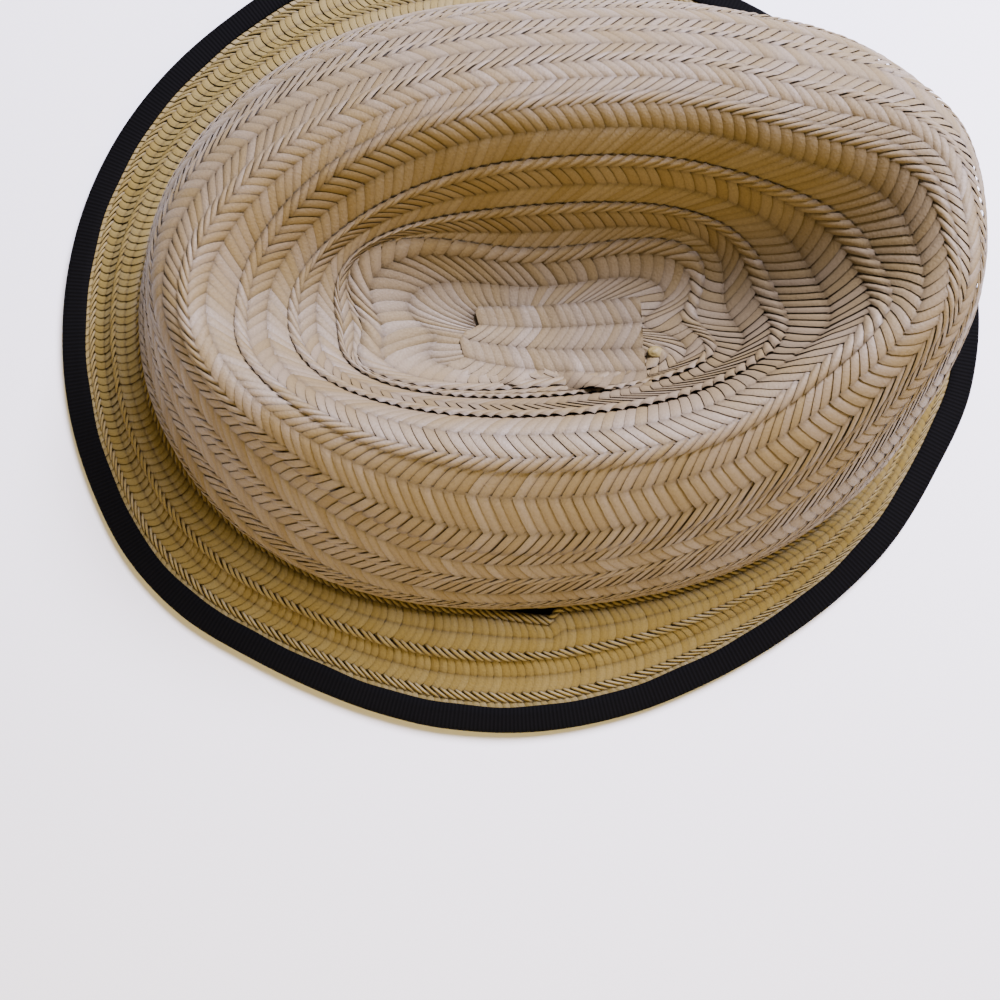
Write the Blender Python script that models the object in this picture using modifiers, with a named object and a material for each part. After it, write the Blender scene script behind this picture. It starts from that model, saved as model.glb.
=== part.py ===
"""Straw trilby hat: a hollow dented crown, a short brim, its black edge binding
and a black inner sweatband. Metres, +Z up, front of the hat along -Y.

The hat rests on the level underside of its edge binding at z = 0.
Every ring of the crown is worked out from one row of CROWN_RINGS, and every
width of the brim from one row of BRIM_WIDTHS. Both hold shares of named sizes.
"""

import math

import bpy

MM = 0.001

# Sheet thicknesses and the gaps between pieces
STRAW_WALL = 2.0 * MM
RIBBON_THICKNESS = 0.6 * MM
SWEATBAND_THICKNESS = 0.8 * MM
FIT_GAP = 0.3 * MM
# The leaning wall needs more room over the brim than a flat fit
SEAT_GAP = 0.8 * MM
EDGE_GAP = 2 * FIT_GAP

# Foot of the crown: outer face of the straw where it meets the brim,
# reached from the middle of the head opening
FOOT_BACK = 101.0 * MM
FOOT_FRONT = 106.0 * MM
FOOT_HALF_WIDTH = 81.5 * MM
FOOT_HEIGHT = 11.0 * MM
FOOT_SQUARE = 2.45
SQUARE_BACK = 2.08

# Rises of the rim over the foot of the crown
RIM_BACK = 41.2 * MM
RIM_RIGHT = 41.7 * MM
RIM_LEFT = 48.7 * MM
RIM_FRONT = 62.2 * MM

# Brim: straw that falls from the foot to a level strip held in the binding
BRIM_WIDTH = 30.0 * MM
BRIM_WIDTHS = (
    # angle_deg from the front, right, left: shares of BRIM_WIDTH
    (0, 0.87, 0.87),
    (12, 0.79, 0.80),
    (24, 0.66, 0.69),
    (37, 0.70, 0.71),
    (51, 0.80, 0.82),
    (64, 0.93, 0.96),
    (77, 1.06, 1.10),
    (90, 1.13, 1.19),
    (103, 1.11, 1.22),
    (112, 1.06, 1.23),
    (121, 1.01, 1.20),
    (130, 0.99, 1.13),
    (140, 1.02, 1.07),
    (150, 1.00, 1.01),
    (160, 0.93, 0.95),
    (170, 0.89, 0.90),
    (180, 0.88, 0.88),
)
BRIM_INNER_LEVEL = 3.8 * MM
BRIM_MARGIN = 1.4 * MM
BRIM_FALL = (
    # share of the way out, share of the fall
    (0.33, 0.27),
    (0.67, 0.73),
)

# Binding: one ribbon folded over the edge of the straw
BINDING_FACE = 6.8 * MM
BINDING_ROUND = 0.6 * MM
ROUND_SHARE = 0.3

# Loose start of the brim braid: a narrow open slit at the right side of the foot
SLIT_BACK = -15.0 * MM
SLIT_LENGTH = 21.0 * MM
SLIT_NOSE = 2.0 * MM
SLIT_WIDTH = 2.0 * MM

# Crown rings from the foot up the wall, over the rim and down into the dent.
# back and front are shares of FOOT_BACK and FOOT_FRONT, right and left of
# FOOT_HALF_WIDTH, and each rise is a share of the rim's rise on that side.
# square is the fullness of the front end, pinch the share taken in at the pinches.
CROWN_RINGS = (
    # name, back, front, right, left, rise_back, rise_right, rise_left, rise_front, square, pinch
    ("foot", 1.0, 1.0, 1.0, 1.0, 0.0, 0.0, 0.0, 0.0, FOOT_SQUARE, 0.0),
    ("foot_top", 1.0, 1.0, 1.0, 1.0, 0.08, 0.08, 0.065, 0.05, FOOT_SQUARE, 0.0),
    ("wall_low", 0.96, 1.02, 0.955, 0.99, 0.25, 0.245, 0.21, 0.23, 2.55, 0.0),
    ("wall_mid", 0.915, 1.02, 0.865, 0.915, 0.54, 0.53, 0.475, 0.52, 2.50, 0.0),
    ("wall_high", 0.875, 1.0, 0.74, 0.77, 0.78, 0.81, 0.725, 0.775, 2.50, 0.0),
    ("shoulder", 0.83, 0.96, 0.645, 0.60, 0.95, 0.965, 0.93, 0.935, 2.50, 0.04),
    ("rim", 0.77, 0.90, 0.57, 0.46, 1.0, 1.0, 1.0, 1.0, 2.60, 0.12),
    ("rim_inner", 0.715, 0.835, 0.495, 0.36, 0.925, 0.93, 0.94, 0.92, 2.50, 0.14),
    ("dent_high", 0.625, 0.745, 0.44, 0.28, 0.745, 0.725, 0.725, 0.695, 2.30, 0.08),
    ("dent_mid", 0.525, 0.64, 0.385, 0.21, 0.585, 0.485, 0.495, 0.455, 2.20, 0.04),
    ("dent_low", 0.415, 0.53, 0.335, 0.125, 0.44, 0.28, 0.29, 0.275, 2.20, 0.0),
    ("floor_rim", 0.295, 0.415, 0.275, 0.03, 0.32, 0.16, 0.17, 0.195, 2.20, 0.0),
    ("floor", 0.12, 0.245, 0.19, -0.055, 0.185, 0.13, 0.12, 0.13, 2.10, 0.0),
)
# Lowest point of the dent as shares of FOOT_FRONT, FOOT_HALF_WIDTH and RIM_RIGHT
FLOOR_MIDDLE = (0.065, -0.115, 0.13)
# The two pinches at the front, as shares of FOOT_FRONT
PINCH_REACH = 0.68
PINCH_LENGTH = 0.19

# Sweatband: stands inside the wall, with a narrow hem under the brim
SWEATBAND_LEVELS = 3
HEM_REACH = 3.2 * MM

# Mesh fineness
RINGS_PER_SECTION = 2
CROWN_STATIONS = 64
EDGE_STATIONS = 72
SLIT_STEPS = 8
NOSE_STEPS = (0.5, 0.85, 1.0)
# Small turns and levels over which a direction is taken
TURN_STEP = 0.01
LEVEL_STEP = 0.02
HALVINGS = 40


def signed_power(value, power):
    """Power of the size of a number that keeps its sign."""
    return math.copysign(abs(value) ** power, value)


def blend(before, start, end, after, share):
    """Smooth curve through start and end, steered by the points before and after."""
    values = []
    for a, b, c, d in zip(before, start, end, after):
        value = 2 * b
        value += (c - a) * share
        value += (2 * a - 5 * b + 4 * c - d) * share ** 2
        value += (3 * b - a - 3 * c + d) * share ** 3
        values.append(0.5 * value)
    return values


def ring_point(ring, turn):
    """Point of one crown ring as (forward, sideways, height).

    turn is 0 at the front and grows towards the wearer's left.
    """
    _, back, front, right, left, rise_back, rise_right, rise_left, rise_front, square, pinch = ring
    back *= FOOT_BACK
    front *= FOOT_FRONT
    right *= FOOT_HALF_WIDTH
    left *= FOOT_HALF_WIDTH
    rise_right *= RIM_RIGHT
    rise_left *= RIM_LEFT
    cosine = math.cos(turn)
    sine = math.sin(turn)
    fullness = SQUARE_BACK + (square - SQUARE_BACK) * (0.5 + 0.5 * cosine)
    forward = 0.5 * (front - back) + 0.5 * (front + back) * signed_power(cosine, 2 / fullness)
    from_pinch = (forward - PINCH_REACH * FOOT_FRONT) / (PINCH_LENGTH * FOOT_FRONT)
    half_width = 0.5 * (right + left) * (1 - pinch * math.exp(-from_pinch ** 2))
    sideways = 0.5 * (left - right) + half_width * signed_power(sine, 2 / fullness)
    side = 0.5 * (rise_right + rise_left) + 0.5 * (rise_left - rise_right) * sine
    end = rise_front * RIM_FRONT if cosine > 0 else rise_back * RIM_BACK
    height = FOOT_HEIGHT + SEAT_GAP + side + (end - side) * cosine ** 2
    return (forward, sideways, height)


def crown_point(level, turn):
    """Outer face of the crown at a level counted in rings from the foot."""
    last = len(CROWN_RINGS) - 1
    index = min(int(level), last - 1)
    picks = (max(index - 1, 0), index, index + 1, min(index + 2, last))
    points = [ring_point(CROWN_RINGS[pick], turn) for pick in picks]
    return blend(*points, level - index)


def crown_normal(level, turn):
    """Outward direction of the crown's outer face."""
    lower = crown_point(max(level - LEVEL_STEP, 0.0), turn)
    upper = crown_point(level + LEVEL_STEP, turn)
    before = crown_point(level, turn - TURN_STEP)
    after = crown_point(level, turn + TURN_STEP)
    rise = [high - low for low, high in zip(lower, upper)]
    along = [far - near for near, far in zip(before, after)]
    normal = (along[1] * rise[2] - along[2] * rise[1],
              along[2] * rise[0] - along[0] * rise[2],
              along[0] * rise[1] - along[1] * rise[0])
    size = math.sqrt(sum(part * part for part in normal))
    return [part / size for part in normal]


def outward(behind, ahead):
    """Direction out of a plan curve that runs from the front towards the left."""
    along = (ahead[0] - behind[0], ahead[1] - behind[1])
    size = math.hypot(*along)
    return (along[1] / size, -along[0] / size)


def foot_point(turn):
    """Foot of the crown and its outward direction in plan."""
    foot = CROWN_RINGS[0]
    way = outward(ring_point(foot, turn - TURN_STEP), ring_point(foot, turn + TURN_STEP))
    return ring_point(foot, turn)[:2], way


def foot_radius(angle):
    """Reach of the foot from the middle of the head opening at one angle in plan."""
    low = 0.0
    high = math.pi
    for _ in range(HALVINGS):
        turn = 0.5 * (low + high)
        forward, sideways, _ = ring_point(CROWN_RINGS[0], turn)
        if math.atan2(sideways, forward) < abs(angle):
            low = turn
        else:
            high = turn
    return math.hypot(forward, sideways)


def edge_radius(angle):
    """Reach of the brim edge, the outer face of the binding, at one angle in plan."""
    angle = math.atan2(math.sin(angle), math.cos(angle))
    side, other = (2, 1) if angle > 0 else (1, 2)
    degrees = math.degrees(abs(angle))
    rows = [(-BRIM_WIDTHS[1][0], BRIM_WIDTHS[1][other])]
    rows += [(row[0], row[side]) for row in BRIM_WIDTHS]
    rows += [(360 - BRIM_WIDTHS[-2][0], BRIM_WIDTHS[-2][other])]
    for index in range(1, len(rows) - 2):
        if degrees <= rows[index + 1][0]:
            break
    before, start, end, after = rows[index - 1:index + 3]
    share = (degrees - start[0]) / (end[0] - start[0])
    return foot_radius(angle) + BRIM_WIDTH * blend(before, start, end, after, share)[1]


def edge_point(angle):
    """Brim edge in plan and its outward direction."""
    points = []
    for near in (angle - TURN_STEP, angle, angle + TURN_STEP):
        radius = edge_radius(near)
        points.append((radius * math.cos(near), radius * math.sin(near)))
    return points[1], outward(points[0], points[2])


# Edge of the brim all round, and the middle of its length and width, so that
# the origin sits under the middle of the hat
EDGE = [edge_point(2 * math.pi * station / EDGE_STATIONS) for station in range(EDGE_STATIONS)]
LENGTH_MIDDLE = 0.5 * (max(p[0] for p, _ in EDGE) + min(p[0] for p, _ in EDGE))
WIDTH_MIDDLE = 0.5 * (max(p[1] for p, _ in EDGE) + min(p[1] for p, _ in EDGE))


def place(forward, sideways, height):
    """Turn reach to the front and to the wearer's left into the frame of the part."""
    return (sideways - WIDTH_MIDDLE, LENGTH_MIDDLE - forward, height)


def material(name, colour, roughness):
    """One plain principled material."""
    made = bpy.data.materials.new(name)
    made.use_nodes = True
    shader = made.node_tree.nodes["Principled BSDF"]
    shader.inputs["Base Color"].default_value = (*colour, 1.0)
    shader.inputs["Roughness"].default_value = roughness
    return made


def add_mesh(collection, name, points, faces, finish):
    """Put one mesh with one material into the collection."""
    mesh = bpy.data.meshes.new(name)
    mesh.from_pydata(points, [], faces)
    mesh.update()
    mesh.shade_smooth()
    mesh.materials.append(finish)
    made = bpy.data.objects.new(name, mesh)
    collection.objects.link(made)
    return made


def thicken(made, thickness):
    """Give an open sheet its thickness on the side away from its face direction."""
    solid = made.modifiers.new("thickness", "SOLIDIFY")
    solid.thickness = thickness
    solid.offset = -1.0
    solid.use_even_offset = True


def loft_faces(rows, columns):
    """Quads between closed rows of points, facing out when rows run upwards."""
    faces = []
    for row in range(rows - 1):
        for column in range(columns):
            after = (column + 1) % columns
            low = row * columns
            high = low + columns
            faces.append((low + column, low + after, high + after, high + column))
    return faces


def build_crown(collection, finish):
    """Hollow dented crown, one sheet from the foot to the floor of the dent."""
    points = []
    rows = (len(CROWN_RINGS) - 1) * RINGS_PER_SECTION + 1
    for row in range(rows):
        for station in range(CROWN_STATIONS):
            turn = 2 * math.pi * station / CROWN_STATIONS
            points.append(place(*crown_point(row / RINGS_PER_SECTION, turn)))
    faces = loft_faces(rows, CROWN_STATIONS)
    top = (rows - 1) * CROWN_STATIONS
    middle = len(points)
    forward, sideways, rise = FLOOR_MIDDLE
    points.append(place(forward * FOOT_FRONT, sideways * FOOT_HALF_WIDTH,
                        FOOT_HEIGHT + SEAT_GAP + rise * RIM_RIGHT))
    for station in range(CROWN_STATIONS):
        faces.append((top + station, top + (station + 1) % CROWN_STATIONS, middle))
    made = add_mesh(collection, "crown", points, faces, finish)
    thicken(made, STRAW_WALL)


def slit_depth(forward, sideways):
    """Share by which the inner edge of the brim is drawn back at the loose braid start."""
    along = forward - SLIT_BACK
    if sideways > 0 or not 0 < along < SLIT_LENGTH + SLIT_NOSE:
        return 0.0
    if along <= SLIT_LENGTH:
        return along / SLIT_LENGTH
    return math.sqrt(max(1 - ((along - SLIT_LENGTH) / SLIT_NOSE) ** 2, 0.0))


def brim_stations():
    """Turns round the brim, closer together along the slit."""
    slit = [SLIT_BACK + SLIT_LENGTH * step / SLIT_STEPS for step in range(SLIT_STEPS + 1)]
    slit += [SLIT_BACK + SLIT_LENGTH + SLIT_NOSE * share for share in NOSE_STEPS]
    middle = 0.5 * (FOOT_FRONT - FOOT_BACK)
    half_length = 0.5 * (FOOT_FRONT + FOOT_BACK)
    fullness = 0.5 * (SQUARE_BACK + FOOT_SQUARE)
    fine = []
    for forward in slit:
        cosine = signed_power((forward - middle) / half_length, fullness / 2)
        fine.append(2 * math.pi - math.acos(cosine))
    spare = math.pi / EDGE_STATIONS
    turns = [2 * math.pi * station / EDGE_STATIONS for station in range(EDGE_STATIONS)]
    kept = [turn for turn in turns if not fine[0] - spare < turn < fine[-1] + spare]
    return sorted(kept + fine)


def brim_section(turn):
    """Upper face of the brim from its inner lip to its outer edge at one turn."""
    foot, way = foot_point(turn)
    edge, edge_way = edge_point(math.atan2(foot[1], foot[0]))
    opening = slit_depth(*foot)
    inner = SLIT_WIDTH * opening if opening > 0 else -STRAW_WALL
    top = FOOT_HEIGHT
    level = RIBBON_THICKNESS + FIT_GAP + STRAW_WALL
    rows = []
    for distance in (inner, BRIM_INNER_LEVEL):
        rows.append((foot[0] + way[0] * distance, foot[1] + way[1] * distance, top))
    start = rows[1]
    inset = BINDING_FACE + BRIM_MARGIN
    end = (edge[0] - edge_way[0] * inset, edge[1] - edge_way[1] * inset, level)
    for share, fall in BRIM_FALL:
        rows.append((start[0] + (end[0] - start[0]) * share,
                     start[1] + (end[1] - start[1]) * share,
                     top + (level - top) * fall))
    rows.append(end)
    inset = RIBBON_THICKNESS + EDGE_GAP
    rows.append((edge[0] - edge_way[0] * inset, edge[1] - edge_way[1] * inset, level))
    return rows


def build_brim(collection, finish):
    """Short brim that falls from the foot to its level edge."""
    sections = [brim_section(turn) for turn in brim_stations()]
    rows = len(sections[0])
    points = []
    for row in reversed(range(rows)):
        for section in sections:
            points.append(place(*section[row]))
    made = add_mesh(collection, "brim", points, loft_faces(rows, len(sections)), finish)
    thicken(made, STRAW_WALL)


def build_binding(collection, finish):
    """Ribbon folded over the brim edge, its lower face level at the ground."""
    height = STRAW_WALL + 2 * (RIBBON_THICKNESS + FIT_GAP)
    skin = RIBBON_THICKNESS
    curve = BINDING_ROUND
    nick = ROUND_SHARE * BINDING_ROUND
    face = BINDING_FACE
    profile = (
        (face, 0.0),
        (face, skin),
        (skin, skin),
        (skin, height - skin),
        (face, height - skin),
        (face, height),
        (curve, height),
        (nick, height - nick),
        (0.0, height - curve),
        (0.0, curve),
        (nick, nick),
        (curve, 0.0),
    )
    points = []
    for depth, rise in profile:
        for edge, way in EDGE:
            points.append(place(edge[0] - way[0] * depth, edge[1] - way[1] * depth, rise))
    faces = []
    for row in range(len(profile)):
        low = row * EDGE_STATIONS
        high = (row + 1) % len(profile) * EDGE_STATIONS
        for station in range(EDGE_STATIONS):
            after = (station + 1) % EDGE_STATIONS
            faces.append((low + station, high + station, high + after, low + after))
    add_mesh(collection, "brim_binding", points, faces, finish)


def build_sweatband(collection, finish):
    """Band that stands inside the wall, with its hem turned out under the brim."""
    inset = STRAW_WALL + FIT_GAP + SWEATBAND_THICKNESS
    turns = [2 * math.pi * station / CROWN_STATIONS for station in range(CROWN_STATIONS)]
    rows = []
    for reach in (HEM_REACH, -inset):
        ring = []
        for turn in turns:
            foot, way = foot_point(turn)
            ring.append((foot[0] + way[0] * reach, foot[1] + way[1] * reach, FOOT_HEIGHT - inset))
        rows.append(ring)
    for level in range(SWEATBAND_LEVELS + 1):
        ring = []
        for turn in turns:
            wall = crown_point(level, turn)
            normal = crown_normal(level, turn)
            ring.append([part - way * inset for part, way in zip(wall, normal)])
        rows.append(ring)
    points = [place(*point) for row in rows for point in row]
    made = add_mesh(collection, "sweatband", points, loft_faces(len(rows), CROWN_STATIONS), finish)
    thicken(made, -SWEATBAND_THICKNESS)


def build():
    """Clear the file and build the hat."""
    for leftover in list(bpy.data.objects):
        bpy.data.objects.remove(leftover, do_unlink=True)
    collection = bpy.data.collections.new("straw_trilby_hat")
    bpy.context.scene.collection.children.link(collection)
    straw = material("natural_straw", (0.62, 0.50, 0.27), 0.62)
    ribbon = material("black_ribbon", (0.012, 0.012, 0.013), 0.75)
    lining = material("black_sweatband", (0.018, 0.016, 0.015), 0.85)
    build_crown(collection, straw)
    build_brim(collection, straw)
    build_binding(collection, ribbon)
    build_sweatband(collection, lining)


build()
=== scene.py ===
"""Looks of the straw trilby hat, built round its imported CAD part."""

import math

import bmesh
import bpy
from mathutils import Matrix, Vector


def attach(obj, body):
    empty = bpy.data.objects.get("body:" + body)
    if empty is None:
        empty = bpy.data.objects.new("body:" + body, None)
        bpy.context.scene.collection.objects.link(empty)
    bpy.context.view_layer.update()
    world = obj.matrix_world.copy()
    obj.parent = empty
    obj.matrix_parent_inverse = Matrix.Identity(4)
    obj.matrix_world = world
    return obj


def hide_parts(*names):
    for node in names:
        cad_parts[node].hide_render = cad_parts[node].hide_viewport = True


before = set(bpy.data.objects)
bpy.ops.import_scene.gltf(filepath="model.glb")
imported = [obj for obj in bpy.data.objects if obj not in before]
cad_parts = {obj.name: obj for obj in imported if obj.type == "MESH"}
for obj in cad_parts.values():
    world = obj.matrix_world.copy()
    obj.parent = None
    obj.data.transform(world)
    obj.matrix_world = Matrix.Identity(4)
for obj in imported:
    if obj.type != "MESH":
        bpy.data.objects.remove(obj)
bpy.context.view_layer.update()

MM = 0.001

# Sizes that the straw pieces follow, the same as the CAD part's
STRAW_WALL = 2.0 * MM
SEAT_GAP = 0.8 * MM
FIT_GAP = 0.3 * MM
FOOT_BACK = 101.0 * MM
FOOT_FRONT = 106.0 * MM
FOOT_HALF_WIDTH = 81.5 * MM
FOOT_HEIGHT = 11.0 * MM
FOOT_SQUARE = 2.45
SQUARE_BACK = 2.08
RIM_BACK = 41.2 * MM
RIM_RIGHT = 41.7 * MM
RIM_LEFT = 48.7 * MM
RIM_FRONT = 62.2 * MM
BRIM_WIDTH = 30.0 * MM
BRIM_INNER_LEVEL = 3.8 * MM
BRIM_MARGIN = 1.4 * MM
BRIM_WIDTHS = (
    # angle_deg from the front, right, left: shares of BRIM_WIDTH
    (0, 0.87, 0.87), (12, 0.79, 0.80), (24, 0.66, 0.69), (37, 0.70, 0.71),
    (51, 0.80, 0.82), (64, 0.93, 0.96), (77, 1.06, 1.10), (90, 1.13, 1.19),
    (103, 1.11, 1.22), (112, 1.06, 1.23), (121, 1.01, 1.20), (130, 0.99, 1.13),
    (140, 1.02, 1.07), (150, 1.00, 1.01), (160, 0.93, 0.95), (170, 0.89, 0.90),
    (180, 0.88, 0.88),
)
BINDING_FACE = 6.8 * MM
# How far the brim's straw stops short of the brim's edge, inside the fold of the ribbon
RIM_INSET = 1.2 * MM
RIBBON_THICKNESS = 0.6 * MM
SWEATBAND_THICKNESS = 0.8 * MM
SWEATBAND_TOP = 3.0
HEM_REACH = 3.2 * MM
SLIT_BACK = -15.0 * MM
SLIT_LENGTH = 21.0 * MM
SLIT_NOSE = 2.0 * MM
SLIT_WIDTH = 2.0 * MM
# The crown's lowest straws overhang the slit, so its straw edge is drawn back this much more
SLIT_CLEAR = 1.3 * MM
PINCH_REACH = 0.68
PINCH_LENGTH = 0.19
CROWN_RINGS = (
    # back, front, right, left, rise_back, rise_right, rise_left, rise_front, square, pinch
    (1.0, 1.0, 1.0, 1.0, 0.0, 0.0, 0.0, 0.0, FOOT_SQUARE, 0.0),
    (1.0, 1.0, 1.0, 1.0, 0.08, 0.08, 0.065, 0.05, FOOT_SQUARE, 0.0),
    (0.96, 1.02, 0.955, 0.99, 0.25, 0.245, 0.21, 0.23, 2.55, 0.0),
    (0.915, 1.02, 0.865, 0.915, 0.54, 0.53, 0.475, 0.52, 2.50, 0.0),
    (0.875, 1.0, 0.74, 0.77, 0.78, 0.81, 0.725, 0.775, 2.50, 0.0),
    (0.83, 0.96, 0.645, 0.60, 0.95, 0.965, 0.93, 0.935, 2.50, 0.04),
    (0.77, 0.90, 0.57, 0.46, 1.0, 1.0, 1.0, 1.0, 2.60, 0.12),
    (0.715, 0.835, 0.495, 0.36, 0.925, 0.93, 0.94, 0.92, 2.50, 0.14),
    (0.625, 0.745, 0.44, 0.28, 0.745, 0.725, 0.725, 0.695, 2.30, 0.08),
    (0.525, 0.64, 0.385, 0.21, 0.585, 0.485, 0.495, 0.455, 2.20, 0.04),
    (0.415, 0.53, 0.335, 0.125, 0.44, 0.28, 0.29, 0.275, 2.20, 0.0),
    (0.295, 0.415, 0.275, 0.03, 0.32, 0.16, 0.17, 0.195, 2.20, 0.0),
    (0.12, 0.245, 0.19, -0.055, 0.185, 0.13, 0.12, 0.13, 2.10, 0.0),
)
FLOOR_MIDDLE = (0.065 * FOOT_FRONT, -0.115 * FOOT_HALF_WIDTH,
                FOOT_HEIGHT + SEAT_GAP + 0.13 * RIM_RIGHT)
TOP_RING = len(CROWN_RINGS) - 1

# Where the crown's sewn rows lap, in rings from the foot, by turn of the spiral.
# Most of these were worked out by a separate script from places read off the photograph,
# then rounded; report.md says so, and of BRIM_WIDTHS too.
# A row that has run out under the foot on the right side has no width there.
ROW_LINES = (
    # right, back, left, front
    (12.9, 12.3, 11.8, 12.1),
    (10.5, 10.3, 10.0, 10.8),
    (9.4, 9.7, 8.9, 9.3),
    (7.3, 8.7, 7.8, 7.8),
    (5.1, 7.6, 6.4, 6.35),
    (3.15, 5.9, 5.4, 5.4),
    (2.3, 4.2, 4.6, 4.2),
    (1.2, 3.0, 3.7, 3.1),
    (0.0, 1.8, 2.5, 2.0),
    (0.0, 0.0, 1.2, 0.8),
    (0.0, 0.0, 0.0, 0.0),
)
CROWN_PITCH = 2.75 * MM
BRIM_PITCH = 2.15 * MM
# Where the brim's sewn rows lap, as shares of the straw between the foot and the binding
BRIM_LINES = (0.09, 0.52, 0.93, 1.36)
ROPE_WIDTH = 2.4 * MM
STRIP_BACK = -18.5 * MM
STRIP_FRONT = 33.5 * MM
STRIP_MITRE = 9.0 * MM
STRIP_SIDE = -2.4 * MM
TAU = 2 * math.pi

# The spiral's length in turns, where it starts, and its guide's stations in each turn
CROWN_TURNS = 9.25
CROWN_START = -0.25
TURN_STATIONS = 110
# Innermost levels that a lap line and a guide sheet reach, short of the middle of the dent
LAST_LAP = 12.95
LAST_LEVEL = 12.96
# A brim row's guide: its stations in one turn, those past it, and the turn it starts at
BRIM_STATIONS = 300
BRIM_SPARE = 6
BRIM_START = 0.35
# Small turn over which a direction in plan is taken
TURN_STEP = 0.01


# Shapes worked out from the sizes above

def signed_power(value, power):
    """Power of the size of a number that keeps its sign."""
    return math.copysign(abs(value) ** power, value)


def blend(before, start, end, after, share):
    """Smooth curve through start and end, steered by the points before and after."""
    return [0.5 * (2 * b + (c - a) * share + (2 * a - 5 * b + 4 * c - d) * share ** 2
                   + (3 * b - a - 3 * c + d) * share ** 3)
            for a, b, c, d in zip(before, start, end, after)]


def ring_point(ring, turn):
    """Point of one crown ring as (forward, sideways, height)."""
    back, front, right, left, rise_back, rise_right, rise_left, rise_front, square, pinch = ring
    back *= FOOT_BACK
    front *= FOOT_FRONT
    right *= FOOT_HALF_WIDTH
    left *= FOOT_HALF_WIDTH
    rise_right *= RIM_RIGHT
    rise_left *= RIM_LEFT
    cosine = math.cos(turn)
    sine = math.sin(turn)
    fullness = SQUARE_BACK + (square - SQUARE_BACK) * (0.5 + 0.5 * cosine)
    forward = 0.5 * (front - back) + 0.5 * (front + back) * signed_power(cosine, 2 / fullness)
    from_pinch = (forward - PINCH_REACH * FOOT_FRONT) / (PINCH_LENGTH * FOOT_FRONT)
    half_width = 0.5 * (right + left) * (1 - pinch * math.exp(-from_pinch ** 2))
    sideways = 0.5 * (left - right) + half_width * signed_power(sine, 2 / fullness)
    side = 0.5 * (rise_right + rise_left) + 0.5 * (rise_left - rise_right) * sine
    end = rise_front * RIM_FRONT if cosine > 0 else rise_back * RIM_BACK
    return (forward, sideways, FOOT_HEIGHT + SEAT_GAP + side + (end - side) * cosine ** 2)


def crown_point(level, turn):
    """Outer face of the crown at a level counted in rings from the foot."""
    if level > TOP_RING:
        share = min(level - TOP_RING, 1.0)
        rim = ring_point(CROWN_RINGS[TOP_RING], turn)
        return [a + (b - a) * share for a, b in zip(rim, FLOOR_MIDDLE)]
    level = max(level, 0.0)
    index = min(int(level), TOP_RING - 1)
    picks = (max(index - 1, 0), index, index + 1, min(index + 2, TOP_RING))
    return blend(*(ring_point(CROWN_RINGS[pick], turn) for pick in picks), level - index)


def crown_normal(level, turn):
    """Outward direction of the crown's outer face."""
    step = 0.03
    low = crown_point(max(level - step, 0.0), turn)
    high = crown_point(max(level, step) + step, turn)
    rise = Vector(high) - Vector(low)
    along = Vector(crown_point(level, turn + step)) - Vector(crown_point(level, turn - step))
    return along.cross(rise).normalized()


def plan_way(behind, ahead):
    """Direction out of a plan curve that runs from the front towards the left."""
    along = Vector((ahead[0] - behind[0], ahead[1] - behind[1])).normalized()
    return (along[1], -along[0])


def foot_point(turn):
    """Foot of the crown and its outward direction in plan."""
    foot = CROWN_RINGS[0]
    behind, ahead = ring_point(foot, turn - TURN_STEP), ring_point(foot, turn + TURN_STEP)
    return ring_point(foot, turn)[:2], plan_way(behind, ahead)


def foot_radius(angle):
    """Reach of the foot from the middle of the head opening at one angle in plan."""
    low, high = 0.0, math.pi
    for _ in range(40):
        turn = 0.5 * (low + high)
        forward, sideways, _ = ring_point(CROWN_RINGS[0], turn)
        if math.atan2(sideways, forward) < abs(angle):
            low = turn
        else:
            high = turn
    return math.hypot(forward, sideways)


def edge_radius(angle):
    """Reach of the brim edge at one angle in plan."""
    angle = math.atan2(math.sin(angle), math.cos(angle))
    side, other = (2, 1) if angle > 0 else (1, 2)
    degrees = math.degrees(abs(angle))
    rows = [(-BRIM_WIDTHS[1][0], BRIM_WIDTHS[1][other])]
    rows += [(row[0], row[side]) for row in BRIM_WIDTHS]
    rows += [(360 - BRIM_WIDTHS[-2][0], BRIM_WIDTHS[-2][other])]
    for index in range(1, len(rows) - 2):
        if degrees <= rows[index + 1][0]:
            break
    before, start, end, after = rows[index - 1:index + 3]
    share = (degrees - start[0]) / (end[0] - start[0])
    return foot_radius(angle) + BRIM_WIDTH * blend(before, start, end, after, share)[1]


def edge_point(angle):
    """Brim edge in plan and its outward direction."""
    spots = []
    for near in (angle - TURN_STEP, angle, angle + TURN_STEP):
        radius = edge_radius(near)
        spots.append((radius * math.cos(near), radius * math.sin(near)))
    return spots[1], plan_way(spots[0], spots[2])


EDGE_TURNS = 72
CAD_EDGE = [edge_point(TAU * station / EDGE_TURNS)[0] for station in range(EDGE_TURNS)]
LENGTH_MIDDLE = 0.5 * (max(p[0] for p in CAD_EDGE) + min(p[0] for p in CAD_EDGE))
WIDTH_MIDDLE = 0.5 * (max(p[1] for p in CAD_EDGE) + min(p[1] for p in CAD_EDGE))


def place(forward, sideways, height):
    """Turn reach to the front and to the wearer's left into the frame of the part."""
    return Vector((sideways - WIDTH_MIDDLE, LENGTH_MIDDLE - forward, height))


def place_way(way):
    """Turn a direction into the frame of the part."""
    return Vector((way[1], -way[0], way[2]))


# Camera at the photograph's angle, high over the right side of the hat. Its values are a
# fit by a separate script to outlines read off the photograph, rounded.

PHOTO_SIZE = 1000
FOCAL_PIXELS = 1026
SENSOR_MM = 36.0
CAMERA_TURN = 0.032
CAMERA_DOWN = 1.440
CAMERA_ROLL = -0.021
CAMERA_REACH = 256.3 * MM
CAMERA_AIM = Vector((-6.4, -55.7, 30.0)) * MM


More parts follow.
